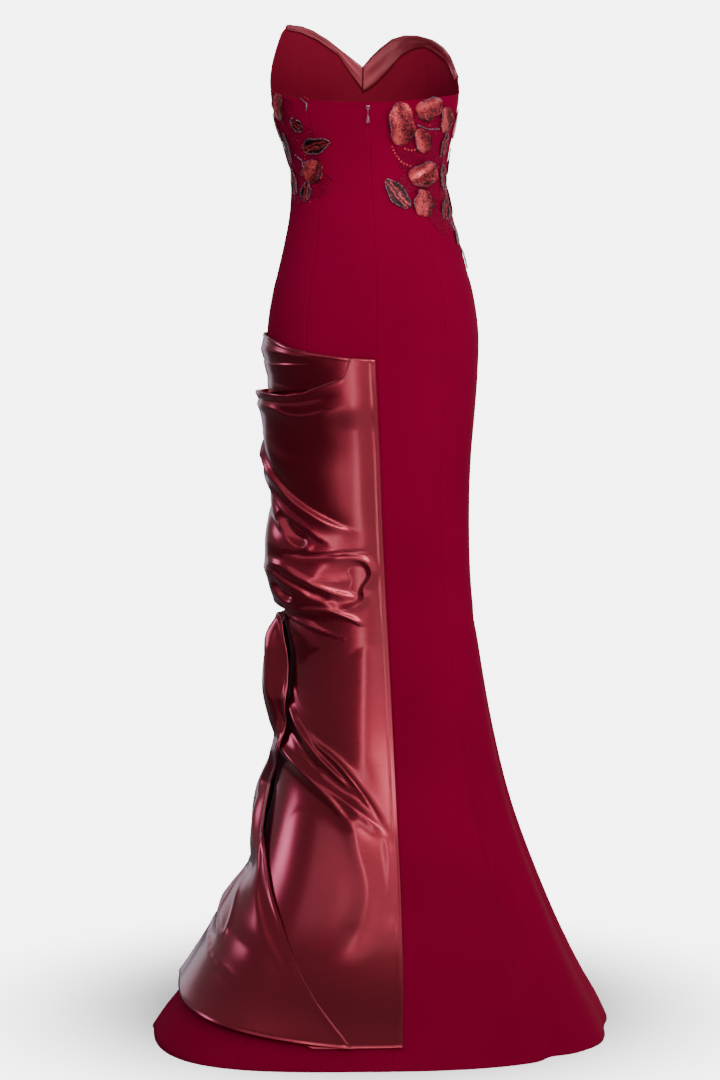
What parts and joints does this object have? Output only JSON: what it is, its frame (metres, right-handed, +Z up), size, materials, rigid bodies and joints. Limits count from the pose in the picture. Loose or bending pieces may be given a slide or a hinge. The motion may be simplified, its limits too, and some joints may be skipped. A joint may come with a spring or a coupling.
{
  "type": "strapless trumpet evening gown",
  "caption": "Hollow worn strapless trumpet gown with sweetheart neckline, back zip, short train, one-sided satin drape and flower applique.",
  "frame": {"origin": "middle of the waist, inside the hollow gown, 1.17 m above the hem, where the wearer holds it", "axes": "+Z up; +Y towards the front of the wearer, so the zip is on the -Y side; +X to the wearer's right"},
  "size_m": [0.6469, 0.5492, 1.4117],
  "materials": {
    "crepe": "matte",
    "satin": "iridescent satin",
    "cuff_satin": "satin",
    "applique": "beaded satin organza",
    "zip_metal": "gloss enamel"
  },
  "bodies": {
    "gown": {"back_left": "crepe", "back_right": "crepe", "cuff_left": "cuff_satin", "cuff_right": "cuff_satin", "drape_leaf": "satin", "drape_main": "satin", "drape_tier": "satin", "front_centre": "crepe", "leaf_left_11": "applique", "leaf_left_2": "applique", "leaf_left_3": "applique", "leaf_left_4": "applique", "leaf_left_6": "applique", "leaf_left_7": "applique", "leaf_left_9": "applique", "leaf_right_10": "applique", "leaf_right_11": "applique", "leaf_right_12": "applique", "leaf_right_14": "applique", "leaf_right_16": "applique", "leaf_right_17": "applique", "leaf_right_6": "applique", "leaf_right_7": "applique", "leaf_right_8": "applique", "petal_left_1": "applique", "petal_left_10": "applique", "petal_left_5": "applique", "petal_left_8": "applique", "petal_right_1": "applique", "petal_right_13": "applique", "petal_right_15": "applique", "petal_right_2": "applique", "petal_right_3": "applique", "petal_right_4": "applique", "petal_right_5": "applique", "petal_right_9": "applique", "side_back_left": "crepe", "side_back_right": "crepe", "side_front_left": "crepe", "side_front_right": "crepe", "zip_slider": "zip_metal"},
    "zip_pull": {"zip_pull": "zip_metal"}
  },
  "joints": [
    {"name": "zip_pull_swing", "type": "hinge", "parent": "gown", "child": "zip_pull", "pos_m": [-0.00689, -0.09623, 0.11395], "axis": [-1, 0, 0], "range_deg": [0, 170]}
  ]
}
